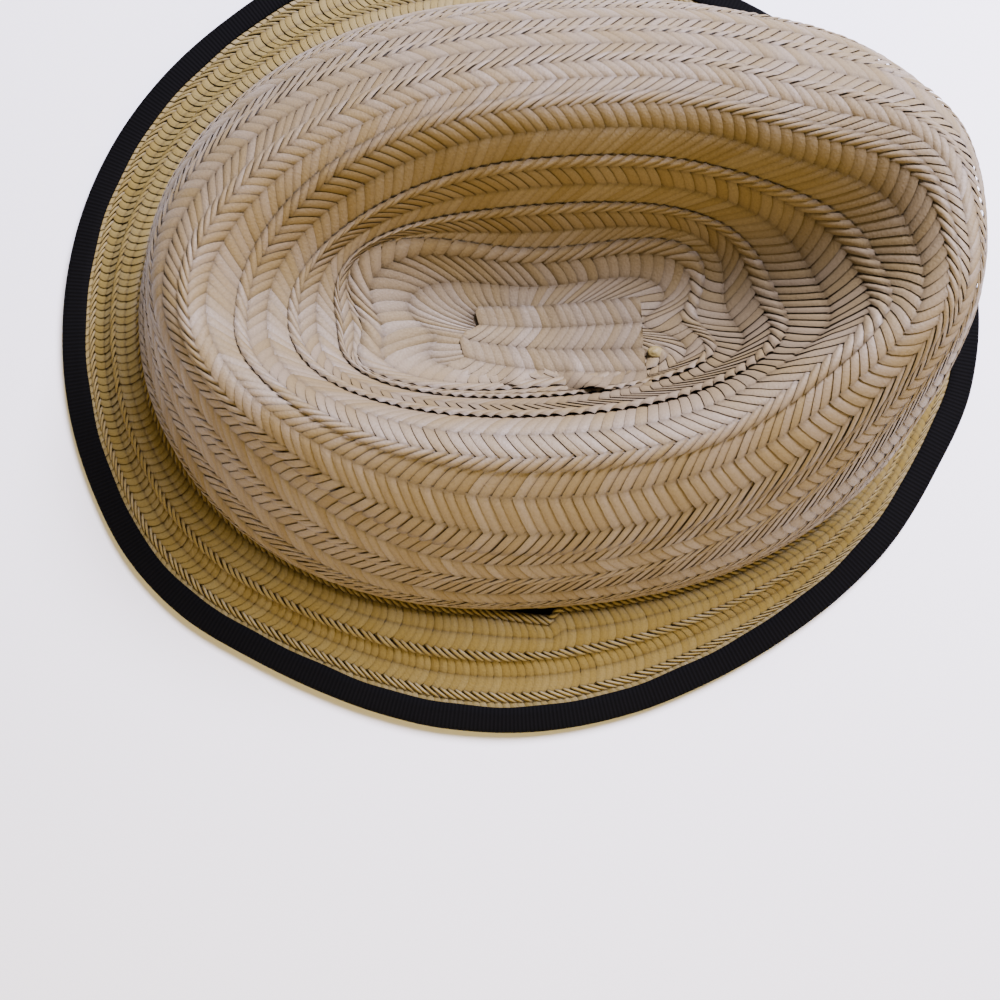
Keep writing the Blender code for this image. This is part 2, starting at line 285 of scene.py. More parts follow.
def build_camera():
    """Camera that looks at CAMERA_AIM, which is a place as (forward, sideways, height)."""
    look = Vector((math.cos(CAMERA_DOWN) * math.sin(CAMERA_TURN),
                   math.cos(CAMERA_DOWN) * math.cos(CAMERA_TURN), -math.sin(CAMERA_DOWN)))
    level = Vector((math.cos(CAMERA_TURN), -math.sin(CAMERA_TURN), 0.0))
    upright = level.cross(look)
    right = math.cos(CAMERA_ROLL) * level + math.sin(CAMERA_ROLL) * upright
    up = math.cos(CAMERA_ROLL) * upright - math.sin(CAMERA_ROLL) * level
    eye = bpy.data.cameras.new("photo_camera")
    eye.sensor_width = SENSOR_MM
    eye.lens = SENSOR_MM * FOCAL_PIXELS / PHOTO_SIZE
    eye.clip_start = 0.01
    camera = bpy.data.objects.new("photo_camera", eye)
    bpy.context.scene.collection.objects.link(camera)
    ways = Matrix((place_way(right), place_way(up), -place_way(look))).transposed().to_4x4()
    ways.translation = place(*(CAMERA_AIM - look * CAMERA_REACH))
    camera.matrix_world = ways
    bpy.context.scene.camera = camera


build_camera()


# Shader expressions

class Wire:
    """A socket that takes part in expressions; each operation adds its Math node."""

    def __init__(self, tree, socket):
        self.tree = tree
        self.socket = socket

    def maths(self, kind, *values):
        made = self.tree.nodes.new("ShaderNodeMath")
        made.operation = kind
        for slot, value in zip(made.inputs, values):
            if isinstance(value, Wire):
                self.tree.links.new(value.socket, slot)
            else:
                slot.default_value = value
        return Wire(self.tree, made.outputs[0])

    def __add__(self, other):
        return self.maths("ADD", self, other)

    def __sub__(self, other):
        return self.maths("SUBTRACT", self, other)

    def __mul__(self, other):
        return self.maths("MULTIPLY", self, other)

    __radd__ = __add__
    __rmul__ = __mul__

    def sine(self):
        return self.maths("SINE", self)

    def clamp(self):
        return self.maths("MINIMUM", self.maths("MAXIMUM", self, 0.0), 1.0)


class Finish:
    """A material under construction with its principled shader."""

    def __init__(self, name, roughness):
        self.material = bpy.data.materials.new(name)
        self.material.use_nodes = True
        self.tree = self.material.node_tree
        self.shader = self.tree.nodes["Principled BSDF"]
        self.shader.inputs["Roughness"].default_value = roughness

    def node(self, kind, settings=None, values=None, output=0):
        """Add a node, set its settings first and then its sockets' values or links."""
        made = self.tree.nodes.new(kind)
        for key, value in (settings or {}).items():
            setattr(made, key, value)
        for key, value in (values or {}).items():
            if isinstance(value, Wire):
                self.tree.links.new(value.socket, made.inputs[key])
            else:
                made.inputs[key].default_value = value
        return Wire(self.tree, made.outputs[output])

    def feed(self, socket, value):
        self.tree.links.new(value.socket, self.shader.inputs[socket])

    def noise(self, scale, detail=2.0):
        where = self.node("ShaderNodeTexCoord", output=3)
        return self.node("ShaderNodeTexNoise",
                         values={"Vector": where, "Scale": scale, "Detail": detail})

    def mix(self, factor, first, second):
        return self.node("ShaderNodeMix", {"data_type": "RGBA"},
                         {0: factor, 6: first if isinstance(first, Wire) else (*first, 1.0),
                          7: second if isinstance(second, Wire) else (*second, 1.0)}, output=2)

    def bump(self, height, strength, distance):
        self.feed("Normal", self.node("ShaderNodeBump", values={
            "Height": height, "Strength": strength, "Distance": distance}))


def straw_finish(name, pale, warm, deep, shade):
    """Plaited straw: its own tone per strand and fine grain; painted shade darkens strand ends and
    sides.
    """
    made = Finish(name, 0.6)
    tone = made.node("ShaderNodeAttribute", {"attribute_name": "strand_tone"}, output=2)
    end_shade = made.node("ShaderNodeAttribute", {"attribute_name": "strand_end_shade"}, output=2)
    cloud = made.noise(28.0, 3.0)
    grain = made.noise(1700.0, 3.0)
    colour = made.mix((tone * 0.75 + cloud * 0.5 - 0.12).clamp(), pale, warm)
    # Painted shade at the strands' ends and sides, plus darker grain, mixes the colour towards
    # deep
    dark = (end_shade * shade + (grain - 0.5) * 0.55).clamp()
    made.feed("Base Color", made.mix(dark, colour, deep))
    made.feed("Roughness", (0.5 + grain * 0.22 + tone * 0.1).clamp())
    made.bump(grain, 0.6, 0.0002)
    return made.material


RIB_PITCH = 0.0011
WEAVE_PITCH = 0.0014


def ribbon_finish():
    """Matt black ribbon with fine cross ribs and a little dust-grey lift."""
    made = Finish("black_ribbon_weave", 0.85)
    made.shader.inputs["Specular IOR Level"].default_value = 0.05
    along = made.node("ShaderNodeAttribute", {"attribute_name": "ribbon_along"}, output=2)
    ribs = (along * (TAU / RIB_PITCH)).sine()
    fuzz = made.noise(1800.0, 3.0)
    cloud = made.noise(60.0)
    colour = made.mix((ribs * 0.22 + fuzz * 0.5 + cloud * 0.2).clamp(),
                      (0.0008, 0.0008, 0.0008), (0.0034, 0.0032, 0.0034))
    made.feed("Base Color", colour)
    made.feed("Roughness", (0.78 + fuzz * 0.15).clamp())
    made.bump(ribs * 0.6 + fuzz * 0.5, 0.5, 0.00018)
    return made.material


def band_finish():
    """Matt black woven sweatband."""
    made = Finish("black_band_weave", 0.9)
    made.shader.inputs["Specular IOR Level"].default_value = 0.05
    along = made.node("ShaderNodeAttribute", {"attribute_name": "ribbon_along"}, output=2)
    across = made.node("ShaderNodeAttribute", {"attribute_name": "ribbon_across"}, output=2)
    weave = (along * (TAU / WEAVE_PITCH)).sine() * (across * (TAU / WEAVE_PITCH)).sine()
    fuzz = made.noise(1500.0, 3.0)
    made.feed("Base Color", made.mix((weave * 0.3 + fuzz * 0.6).clamp(),
                                     (0.006, 0.005, 0.005), (0.028, 0.024, 0.022)))
    made.feed("Roughness", (0.8 + fuzz * 0.15).clamp())
    made.bump(weave * 0.5 + fuzz * 0.4, 0.6, 0.0002)
    return made.material


def core_finish():
    """Shaded straw seen deep between the strands."""
    made = Finish("shaded_straw", 0.85)
    grain = made.noise(900.0, 3.0)
    made.feed("Base Color", made.mix(grain, (0.05, 0.034, 0.015), (0.11, 0.077, 0.034)))
    made.bump(grain, 0.4, 0.0003)
    return made.material


CROWN_STRAW = straw_finish("crown_straw", pale=(0.195, 0.150, 0.094), warm=(0.155, 0.106, 0.034),
                           deep=(0.030, 0.017, 0.004), shade=0.62)
# Painted warm light: the brim's straw is yellower than the crown's, standing in for the warm lamp
# light on the brim
BRIM_STRAW_WARM_LIT = straw_finish("brim_straw_warm_lit", pale=(0.175, 0.130, 0.036), warm=(0.148, 0.100, 0.012),
                          deep=(0.028, 0.015, 0.002), shade=0.62)
SHADED_STRAW = core_finish()
RIBBON = ribbon_finish()
BAND = band_finish()


# Mesh helpers

def new_object(name, points, faces, finish, attributes=None):
    """Plain smooth mesh object with one material and optional point attributes."""
    mesh = bpy.data.meshes.new(name)
    mesh.from_pydata([tuple(p) for p in points], [], faces)
    mesh.update()
    mesh.shade_smooth()
    if finish:
        mesh.materials.append(finish)
    for key, values in (attributes or {}).items():
        kind = "FLOAT" if isinstance(values[0], float) else "FLOAT_VECTOR"
        layer = mesh.attributes.new(key, kind, "POINT")
        if kind == "FLOAT":
            layer.data.foreach_set("value", values)
        else:
            layer.data.foreach_set("vector", [part for value in values for part in value])
    made = bpy.data.objects.new(name, mesh)
    bpy.context.scene.collection.objects.link(made)
    return made


def grid_faces(rows, columns, closed):
    """Quads of a grid, row after row; closed joins the last column to the first."""
    faces = []
    for row in range(rows - 1):
        for column in range(columns if closed else columns - 1):
            after = (column + 1) % columns
            low, high = row * columns, (row + 1) * columns
            faces.append((low + column, low + after, high + after, high + column))
    return faces


def tube_faces(rows, columns):
    """Quads of a section carried round a closed loop, its last row joined to its first."""
    faces = [tuple(reversed(corners)) for corners in grid_faces(rows, columns, True)]
    last = (rows - 1) * columns
    for column in range(columns):
        after = (column + 1) % columns
        faces.append((last + after, last + column, column, after))
    return faces


def join(name, pieces):
    """One object from several, at the origin."""
    with bpy.context.temp_override(active_object=pieces[0], selected_objects=pieces,
                                   selected_editable_objects=pieces):
        bpy.ops.object.join()
    pieces[0].name = name
    pieces[0].data.name = name
    return pieces[0]


# Rails: thin guide sheets that carry the rows. Their flat map runs along the row and across it.

ACROSS = (-0.2, 0.0, 0.2, 0.4, 0.6, 0.8, 0.93, 1.0, 1.08, 1.2)


def spiral_level(turns):
    """Level of the lap line after so many turns, counted from the right side over the back."""
    knots = [value for row in ROW_LINES for value in row]
    spot = max(turns * 4, 0.0)
    index = min(max(int(spot), 0), len(knots) - 2)
    picks = [knots[min(max(index + step, 0), len(knots) - 1)] for step in (-1, 0, 1, 2)]
    level = blend(*([pick] for pick in picks), spot - index)[0]
    corner = max(0.0, 0.95 - 0.55 * abs(turns - 1.3)) * math.sin(4 * math.pi * turns) ** 2
    return min(max(level - corner, 0.0), LAST_LAP)


def slit_depth(forward, sideways):
    """Share by which the inner rope of the brim is drawn back at the loose braid start."""
    along = forward - SLIT_BACK
    if sideways > 0 or not 0 < along < SLIT_LENGTH + SLIT_NOSE:
        return 0.0
    if along <= SLIT_LENGTH:
        return along / SLIT_LENGTH
    return math.sqrt(max(1 - ((along - SLIT_LENGTH) / SLIT_NOSE) ** 2, 0.0))


def crown_rail(side):
    """Guide sheet of the crown's spiral, on its outer side (1) or inner side (-1)."""
    points, ups, maps, widths = [], [], [], []
    length = 0.0
    previous = None
    for station in range(round(CROWN_TURNS * TURN_STATIONS) + 1):
        turns = station / TURN_STATIONS + CROWN_START
        turn = 1.5 * math.pi - TAU * turns
        inner, outer = spiral_level(turns), spiral_level(turns + 1)
        middle = Vector(crown_point(0.5 * (inner + outer), turn))
        if previous is not None:
            length += (middle - previous).length
        previous = middle
        wide = (Vector(crown_point(inner, turn)) - Vector(crown_point(outer, turn))).length
        for share in ACROSS:
            level = min(max(inner + (outer - inner) * share, 0.0), LAST_LEVEL)
            spot = Vector(crown_point(level, turn))
            normal = crown_normal(level, turn)
            # Each row rises from under the one inside it to over the one outside it
            lap = (-0.45 + 0.95 * share) * MM
            depth = 0.35 * MM + lap if side > 0 else -STRAW_WALL + 0.3 * MM - lap * 0.5
            points.append(place(*(spot + normal * depth)))
            ups.append(place_way(normal) * side)
            maps.append((length, share))
            widths.append(wide)
    return sheet_rail("crown_rail", points, ups, maps, widths, length, length)


BRIM_LINE_CACHE = {}


def brim_line(turn):
    """Foot, ways and lengths of one line out over the brim, worked out once for each turn."""
    key = round(turn, 6)
    if key not in BRIM_LINE_CACHE:
        foot, way = foot_point(turn)
        edge, edge_way = edge_point(math.atan2(foot[1], foot[0]))
        inset = BINDING_FACE + BRIM_MARGIN
        foot, way, edge, edge_way = (Vector(part) for part in (foot, way, edge, edge_way))
        end = edge - edge_way * inset
        rim = edge - edge_way * RIM_INSET
        BRIM_LINE_CACHE[key] = (foot, way, end, rim, (rim - foot).length)
    return BRIM_LINE_CACHE[key]


def brim_shown(turn):
    """Length of straw that shows between the foot of the crown and the binding."""
    return brim_line(turn)[4] + RIM_INSET - BINDING_FACE


def brim_point(turn, distance):
    """Point of the brim's upper face at a length out from the foot."""
    foot, way, end, rim, whole = brim_line(turn)
    level = RIBBON_THICKNESS + FIT_GAP + STRAW_WALL
    flat_out = whole - (rim - end).length
    start = foot + way * BRIM_INNER_LEVEL
    if distance <= BRIM_INNER_LEVEL:
        spot, height = foot + way * distance, FOOT_HEIGHT
    elif distance >= flat_out:
        spot, height = end + (rim - end) * ((distance - flat_out) / (whole - flat_out)), level
    else:
        part = (distance - BRIM_INNER_LEVEL) / (flat_out - BRIM_INNER_LEVEL)
        spot = start + (end - start) * part
        height = FOOT_HEIGHT + (level - FOOT_HEIGHT) * (part * part * (3 - 2 * part))
    return Vector((spot[0], spot[1], height))


def brim_normal(turn, distance):
    """Upward direction of the brim's upper face."""
    out = brim_point(turn, distance + 0.5 * MM) - brim_point(turn, distance - 0.5 * MM)
    along = brim_point(turn + 0.02, distance) - brim_point(turn - 0.02, distance)
    return along.cross(-out).normalized()


def brim_reach(turn, line):
    """Length from the foot to one lap line of the brim; line 0 is the edge of the inner rope."""
    drawn = slit_depth(*foot_point(turn)[0]) * (SLIT_WIDTH + SLIT_CLEAR)
    if line < 0:
        return drawn
    reach = BRIM_LINES[line] * brim_shown(turn)
    return max(reach, drawn + ROPE_WIDTH) if line == 0 else reach


def brim_rail(side, line, inmost=0.0):
    """Guide sheet of one brim row, from one lap line to the next and a little past a full turn."""
    points, ups, maps, widths = [], [], [], []
    length = loop = 0.0
    previous = None
    for station in range(BRIM_STATIONS + BRIM_SPARE + 1):
        turn = TAU * station / BRIM_STATIONS + BRIM_START
        inner, outer = max(brim_reach(turn, line - 1), inmost), brim_reach(turn, line)
        middle = brim_point(turn, 0.5 * (inner + outer))
        if previous is not None:
            length += (middle - previous).length
        previous = middle
        if station == BRIM_STATIONS:
            loop = length
        hidden = brim_shown(turn) + 0.3 * MM
        for share in ACROSS:
            at = inner + (outer - inner) * share
            spot = brim_point(turn, min(at, brim_line(turn)[4]))
            normal = brim_normal(turn, min(at, brim_line(turn)[4] - MM))
            lap = (-0.3 + 0.6 * share) * MM
            depth = 0.3 * MM + lap if side > 0 else -STRAW_WALL + 0.25 * MM - lap * 0.4
            points.append(place(*(spot + normal * depth)))
            ups.append(place_way(normal) * side)
            maps.append((length, share))
            widths.append(outer - inner if at < hidden else 0.0)
    return sheet_rail("brim_rail", points, ups, maps, widths, length, loop)


def strip_rail():
    """Guide sheet of the short mitred strip that the spiral starts from."""
    points, ups, maps, widths = [], [], [], []
    stations = 40
    length = STRIP_FRONT - STRIP_BACK
    for station in range(stations + 1):
        part = station / stations
        wide = (15.4 + 12.0 * part ** 0.55) * MM
        for share in ACROSS:
            back = STRIP_BACK + STRIP_MITRE * (1 - share)
            forward = back + (STRIP_FRONT - back) * part
            sideways = STRIP_SIDE - wide * share
            spot, normal = floor_spot(forward, sideways)
            points.append(place(*(spot + normal * (1.35 - 0.8 * share ** 3) * MM)))
            ups.append(place_way(normal))
            maps.append((length * part, share))
            widths.append(wide)
    return sheet_rail("strip_rail", points, ups, maps, widths, length, length)


def floor_spot(forward, sideways):
    """Point of the dent's floor under one spot in plan, found by walking the rings inward."""
    turn = math.atan2(sideways - FLOOR_MIDDLE[1], forward - FLOOR_MIDDLE[0])
    low, high = 9.0, 12.999
    for _ in range(18):
        level = 0.5 * (low + high)
        best = turn
        for _ in range(6):
            spot = crown_point(level, best)
            wrong = math.atan2(spot[1] - FLOOR_MIDDLE[1], spot[0] - FLOOR_MIDDLE[0]) - turn
            best -= math.atan2(math.sin(wrong), math.cos(wrong))
        reach = math.hypot(spot[0] - FLOOR_MIDDLE[0], spot[1] - FLOOR_MIDDLE[1])
        if reach > math.hypot(forward - FLOOR_MIDDLE[0], sideways - FLOOR_MIDDLE[1]):
            low = level
        else:
            high = level
    normal = crown_normal(min(level, 11.9), best)
    return Vector((forward, sideways, spot[2])), (normal * 0.5 + Vector((0, 0, 1.0))).normalized()


def sheet_rail(name, points, ups, maps, widths, length, loop):
    """Finish a guide sheet, its flat map scaled to the unit square; loop is the length to fill."""
    columns = len(ACROSS)
    rows = len(points) // columns
    low, high = ACROSS[0], ACROSS[-1]
    flat = [(u / length, (v - low) / (high - low), 0.0) for u, v in maps]
    made = new_object(name, points, grid_faces(rows, columns, False), None, {
        "rail_map": flat,
        "rail_up": [tuple(up) for up in ups],
        "rail_width": [float(wide) for wide in widths],
    })
    return made, length, loop


# Strands: one motif of a row, along the row in metres and across it in shares

def leaf(start, end, wide, high, bow, along_steps, across_steps, tuck=0.5):
    """One flattened strand from start to end, each (metres along, share across).

    wide is its width along the row, high its rise in the middle, bow how far it curves
    forward, and tuck how many mm its ends sink.
    """
    points, end_shades = [], []
    for step in range(along_steps + 1):
        share = step / along_steps
        along = start[0] + (end[0] - start[0]) * share + bow * math.sin(math.pi * share)
        across = start[1] + (end[1] - start[1]) * share
        swell = math.sin(math.pi * share) ** 0.35 if 0 < share < 1 else 0.0
        half = 0.5 * wide * (0.80 + 0.20 * swell)
        for cross in range(across_steps + 1):
            side = 2 * cross / across_steps - 1
            dome = high * (1 - side * side) + 0.24 * MM * side
            sink = tuck * MM * (1 - swell)
            points.append((along + side * half, across, dome - sink))
            # Painted shade, strongest at the strand's ends and along its sides, where it tucks
            # under its neighbours
            end_shade = 0.8 if 0 < share < 1 else 1.0
            end_shades.append(end_shade - swell * (0.62 + 0.38 * (1 - side * side)) * 0.8)
    return points, end_shades, grid_faces(along_steps + 1, across_steps + 1, False)


def motif(name, leaves):
    """Join strands into the motif that repeats along a row."""
    points, end_shades, faces = [], [], []
    for leaf_points, leaf_end_shades, leaf_faces in leaves:
        start = len(points)
        points += leaf_points
        end_shades += leaf_end_shades
        faces += [tuple(reversed([start + corner for corner in face])) for face in leaf_faces]
    return new_object(name, points, faces, None, {"strand_end_shade": end_shades})


class Tree:
    """A Geometry Nodes tree under construction."""

    def __init__(self, name):
        self.group = bpy.data.node_groups.new(name, "GeometryNodeTree")
        self.inputs = {}
        self.add_input("Geometry", "NodeSocketGeometry")
        self.group.interface.new_socket("Geometry", in_out="OUTPUT",
                                        socket_type="NodeSocketGeometry")

    def add_input(self, name, kind):
        socket = self.group.interface.new_socket(name, in_out="INPUT", socket_type=kind)
        self.inputs[name] = socket.identifier

    def node(self, kind, settings=None, values=None, output=0):
        """Add a node, set it and its sockets' values or links, and give one of its outputs."""
        made = self.group.nodes.new(kind)
        for key, value in (settings or {}).items():
            setattr(made, key, value)
        for key, value in (values or {}).items():
            if isinstance(value, bpy.types.NodeSocket):
                self.group.links.new(value, made.inputs[key])
            else:
                made.inputs[key].default_value = value
        return made.outputs[output]

    def named(self, name, kind):
        """A named attribute."""
        return self.node("GeometryNodeInputNamedAttribute", {"data_type": kind}, {"Name": name})

    def random(self, low, high, seed):
        """A random number for each point or strand."""
        return self.node("FunctionNodeRandomValue", {"data_type": "FLOAT"},
                         {"Min": low, "Max": high, "Seed": seed}, output=1)


LIFT_SEED = 7
TONE_SEED = 3
# How far a strand may stray along its row
UNEVENNESS = 0.2 * MM


def row_tree():
    """Tree that repeats a motif along a flat row and lays it over a guide sheet."""
    tree = Tree("strands_along_row")
    for name, kind in (("Rail", "Object"), ("Motif", "Object"), ("Length", "Float"),
                       ("Pitch", "Float"), ("Count", "Int"), ("Unevenness", "Float"),
                       ("Narrowest", "Float"), ("Seed", "Int")):
        tree.add_input(name, "NodeSocket" + kind)
    entry = tree.group.nodes.new("NodeGroupInput").outputs

    # A flat row of strands, each a little off its place and with its own lift and tone
    step = tree.node("ShaderNodeCombineXYZ", values={"X": entry["Pitch"]})
    line = tree.node("GeometryNodeMeshLine", {"mode": "OFFSET"},
                     {"Count": entry["Count"], "Offset": step})
    strand = tree.node("GeometryNodeObjectInfo", values={"Object": entry["Motif"]},
                       output="Geometry")
    low = tree.node("ShaderNodeMath", {"operation": "MULTIPLY"},
                    {0: entry["Unevenness"], 1: -1.0})
    shift = tree.node("ShaderNodeCombineXYZ",
                      values={"X": tree.random(low, entry["Unevenness"], entry["Seed"])})
    moved = tree.node("GeometryNodeSetPosition", values={"Geometry": line, "Offset": shift})
    size = tree.node("ShaderNodeCombineXYZ",
                     values={"X": 1.0, "Y": 1.0, "Z": tree.random(0.8, 1.2, LIFT_SEED)})
    placed = tree.node("GeometryNodeInstanceOnPoints",
                       values={"Points": moved, "Instance": strand, "Scale": size})
    toned = tree.node("GeometryNodeStoreNamedAttribute",
                      {"data_type": "FLOAT", "domain": "INSTANCE"},
                      {"Geometry": placed, "Name": "strand_tone",
                       "Value": tree.random(0.0, 1.0, TONE_SEED)})
    loose = tree.node("GeometryNodeRealizeInstances", values={"Geometry": toned})

    # Where each point falls on the guide's flat map
    rail = tree.node("GeometryNodeObjectInfo", values={"Object": entry["Rail"]},
                     output="Geometry")
    spot = tree.node("ShaderNodeSeparateXYZ",
                     values={0: tree.node("GeometryNodeInputPosition")}).node.outputs
    along = tree.node("ShaderNodeMath", {"operation": "DIVIDE"}, {0: spot[0], 1: entry["Length"]})
    along = tree.node("ShaderNodeClamp", values={"Value": along, "Min": 0.0004, "Max": 0.9996})
    across = tree.node("ShaderNodeMapRange", values={
        "Value": spot[1], "From Min": ACROSS[0], "From Max": ACROSS[-1],
        "To Min": 0.0, "To Max": 1.0})
    across = tree.node("ShaderNodeClamp", values={"Value": across, "Min": 0.002, "Max": 0.998})
    wanted = tree.node("ShaderNodeCombineXYZ", values={"X": along, "Y": across})

    def sampled(value, kind):
        """Value of the guide at that place."""
        return tree.node("GeometryNodeSampleUVSurface", {"data_type": kind}, {
            "Mesh": rail, "Value": value, "UV Map": tree.named("rail_map", "FLOAT_VECTOR"),
            "Sample UV": wanted})

    # The strands carried over the guide, without those where the row has run out
    up = tree.node("ShaderNodeVectorMath", {"operation": "SCALE"}, {
        0: sampled(tree.named("rail_up", "FLOAT_VECTOR"), "FLOAT_VECTOR"), "Scale": spot[2]})
    target = tree.node("ShaderNodeVectorMath", {"operation": "ADD"}, {
        0: sampled(tree.node("GeometryNodeInputPosition"), "FLOAT_VECTOR"), 1: up})
    narrow = tree.node("FunctionNodeCompare", {"data_type": "FLOAT", "operation": "LESS_THAN"}, {
        0: sampled(tree.named("rail_width", "FLOAT"), "FLOAT"), 1: entry["Narrowest"]})
    flagged = tree.node("GeometryNodeStoreNamedAttribute",
                        {"data_type": "BOOLEAN", "domain": "POINT"},
                        {"Geometry": loose, "Name": "too_narrow", "Value": narrow})
    laid = tree.node("GeometryNodeSetPosition", values={"Geometry": flagged, "Position": target})
    kept = tree.node("GeometryNodeDeleteGeometry", {"domain": "FACE"},
                     {"Geometry": laid, "Selection": tree.named("too_narrow", "BOOLEAN")})
    exit_node = tree.group.nodes.new("NodeGroupOutput")
    tree.group.links.new(kept, exit_node.inputs[0])
    return tree


ROWS = row_tree()


def lay_rows(name, rail, pattern, pitch, seed, finish, narrowest=4.0 * MM, flip=False):
    """Run the tree for one guide sheet and keep its result as a plain mesh."""
    guide, length, loop = rail
    count = round(loop / pitch)
    holder = bpy.data.objects.new(name, bpy.data.meshes.new(name))
    bpy.context.scene.collection.objects.link(holder)
    nodes = holder.modifiers.new("rows", "NODES")
    nodes.node_group = ROWS.group
    values = {"Rail": guide, "Motif": pattern, "Length": length, "Pitch": loop / count,
              "Count": count, "Unevenness": UNEVENNESS, "Narrowest": narrowest, "Seed": seed}
    for key, value in values.items():
        nodes[ROWS.inputs[key]] = value
    bpy.context.view_layer.update()
    graph = bpy.context.evaluated_depsgraph_get()
    mesh = bpy.data.meshes.new_from_object(
        holder.evaluated_get(graph), preserve_all_data_layers=True, depsgraph=graph)
    bpy.data.objects.remove(holder)
    mesh.materials.clear()
    mesh.materials.append(finish)
    if flip:
        mesh.flip_normals()
    made = bpy.data.objects.new(name, mesh)
    mesh.shade_smooth()
    bpy.context.scene.collection.objects.link(made)
    bpy.data.objects.remove(guide)
    return made


# Motifs that repeat along the rows

def wide_motif(name, pitch, fine):
    """Row of the crown: two slanted bands and the raised edge that laps the next row."""
    steps = 5 if fine else 3
    few = 4 if fine else 3
    return motif(name, [
        leaf((-0.3 * pitch, -0.05), (1.95 * pitch, 0.47), wide=1.18 * pitch, high=0.2 * MM,
             bow=0.12 * pitch, along_steps=steps, across_steps=few, tuck=0.22),
        leaf((2.0 * pitch, 0.41), (0.1 * pitch, 0.86), wide=1.18 * pitch, high=0.2 * MM,
             bow=0.08 * pitch, along_steps=steps, across_steps=few, tuck=0.22),
        leaf((0.0, 0.80), (1.75 * pitch, 1.05), wide=1.04 * pitch, high=0.38 * MM,
             bow=0.0, along_steps=few, across_steps=few, tuck=0.42),
    ])


def brim_motif(name, pitch, fine):
    """Row of the brim: a ribbed band in two halves and its rope edge."""
    steps = 5 if fine else 3
    return motif(name, [
        leaf((0.0, 0.0), (0.7 * pitch, 0.46), wide=1.15 * pitch, high=0.16 * MM,
             bow=0.2 * pitch, along_steps=steps, across_steps=3, tuck=0.25),
        leaf((0.7 * pitch, 0.42), (0.0, 0.86), wide=1.15 * pitch, high=0.16 * MM,
             bow=0.15 * pitch, along_steps=steps, across_steps=3, tuck=0.25),
        leaf((-0.3 * pitch, 0.80), (1.7 * pitch, 1.05), wide=0.85 * pitch, high=0.6 * MM,
             bow=0.0, along_steps=steps, across_steps=3, tuck=0.6),
    ])


def rope_motif(name, pitch):
    """Rope edge alone, for the innermost line of the brim."""
    return motif(name, [
        leaf((0.0, 0.0), (1.8 * pitch, 1.05), wide=0.88 * pitch, high=0.6 * MM,
             bow=0.0, along_steps=5, across_steps=3, tuck=0.5),
    ])


def strip_motif(name, pitch):
    """Four slanted bands that make two herringbones side by side."""
    bands = ((0.0, 0.0, 1.6, 0.28), (1.6, 0.25, 0.0, 0.53),
             (0.0, 0.50, 1.6, 0.78), (1.6, 0.75, 0.2, 1.02))
    return motif(name, [
        leaf((start * pitch, low), (end * pitch, high), wide=1.2 * pitch, high=0.16 * MM,
             bow=0.1 * pitch, along_steps=6, across_steps=4, tuck=0.3)
        for start, low, end, high in bands
    ])


# Depths of the shaded wall's two faces under the crown's or brim's outer and inner face
CORE_UNDER = 0.4 * MM
CORE_INSIDE = 0.8 * MM


def wall_sheet(name, rows):
    """Closed double wall of shaded straw from rows of (point, normal) that run up."""
    count = len(rows[0])
    outer, inner = ([place(*(spot - normal * depth)) for row in rows for spot, normal in row]
                    for depth in (CORE_UNDER, STRAW_WALL - CORE_INSIDE))
    faces = grid_faces(len(rows), count, True)
    start = len(outer)
    faces += [tuple(reversed([start + corner for corner in face])) for face in faces]
    last = (len(rows) - 1) * count
    for station in range(count):
        after = (station + 1) % count
        faces.append((after, station, start + station, start + after))
        faces.append((last + station, last + after, start + last + after, start + last + station))
    return new_object(name, outer + inner, faces, SHADED_STRAW)


def crown_core():
    """Shaded straw wall between the outer and inner strands of the crown."""
    count = 128
    steps = 60
    turns = [TAU * station / count for station in range(count)]
    rows = []
    for step in range(steps + 1):
        level = TOP_RING * step / steps
        rows.append([(Vector(crown_point(level, turn)), crown_normal(level, turn))
                     for turn in turns])
    # Past the last ring the wall is the floor of the dent, which closes to a small hole
    for reach in (0.35, 0.7, 0.94):
        rows.append([(Vector(crown_point(TOP_RING + reach, turn)), Vector((0.0, 0.0, 1.0)))
                     for turn in turns])
    return wall_sheet("crown_core", rows)


def brim_core():
    """Shaded straw wall between the upper and lower strands of the brim."""
    count = 240
    rows = []
    for share in (1.0, 0.9, 0.8, 0.7, 0.6, 0.5, 0.4, 0.3, 0.2, 0.12, 0.06, 0.0):
        row = []
        for station in range(count):
            turn = TAU * station / count
            at = max(share * brim_line(turn)[4], brim_reach(turn, -1))
            row.append((brim_point(turn, at), brim_normal(turn, at)))
        rows.append(row)
    return wall_sheet("brim_core", rows)


KNOT_FORWARD = 36.3 * MM
KNOT_SIDE = -18.0 * MM
KNOT_LIFT = 1.2 * MM


def build_knot():
    """Small end of straw knotted beside the start of the spiral."""
    spot, normal = floor_spot(KNOT_FORWARD, KNOT_SIDE)
    middle = place(*(spot + normal * KNOT_LIFT))
    shape = bmesh.new()
    bmesh.ops.create_icosphere(shape, subdivisions=3, radius=1.0)
    for corner in shape.verts:
        x, y, z = corner.co
        lump = 1 + 0.10 * math.sin(5 * x + 2) * math.sin(4 * y) + 0.08 * math.sin(7 * z)
        corner.co = Vector((x * 1.5, y * 2.0, z * 0.9)) * (lump * MM) + middle
    mesh = bpy.data.meshes.new("start_knot")
    shape.to_mesh(mesh)
    shape.free()
    mesh.shade_smooth()
    mesh.materials.append(BRIM_STRAW_WARM_LIT)
    made = bpy.data.objects.new("start_knot", mesh)
    bpy.context.scene.collection.objects.link(made)
    return made


WIDE = wide_motif("wide_motif", CROWN_PITCH, True)
WIDE_PLAIN = wide_motif("wide_motif_plain", CROWN_PITCH, False)
STRIP = strip_motif("strip_motif", CROWN_PITCH)
RIB = brim_motif("brim_motif", BRIM_PITCH, True)
RIB_PLAIN = brim_motif("brim_motif_plain", BRIM_PITCH, False)
ROPE = rope_motif("rope_motif", BRIM_PITCH)

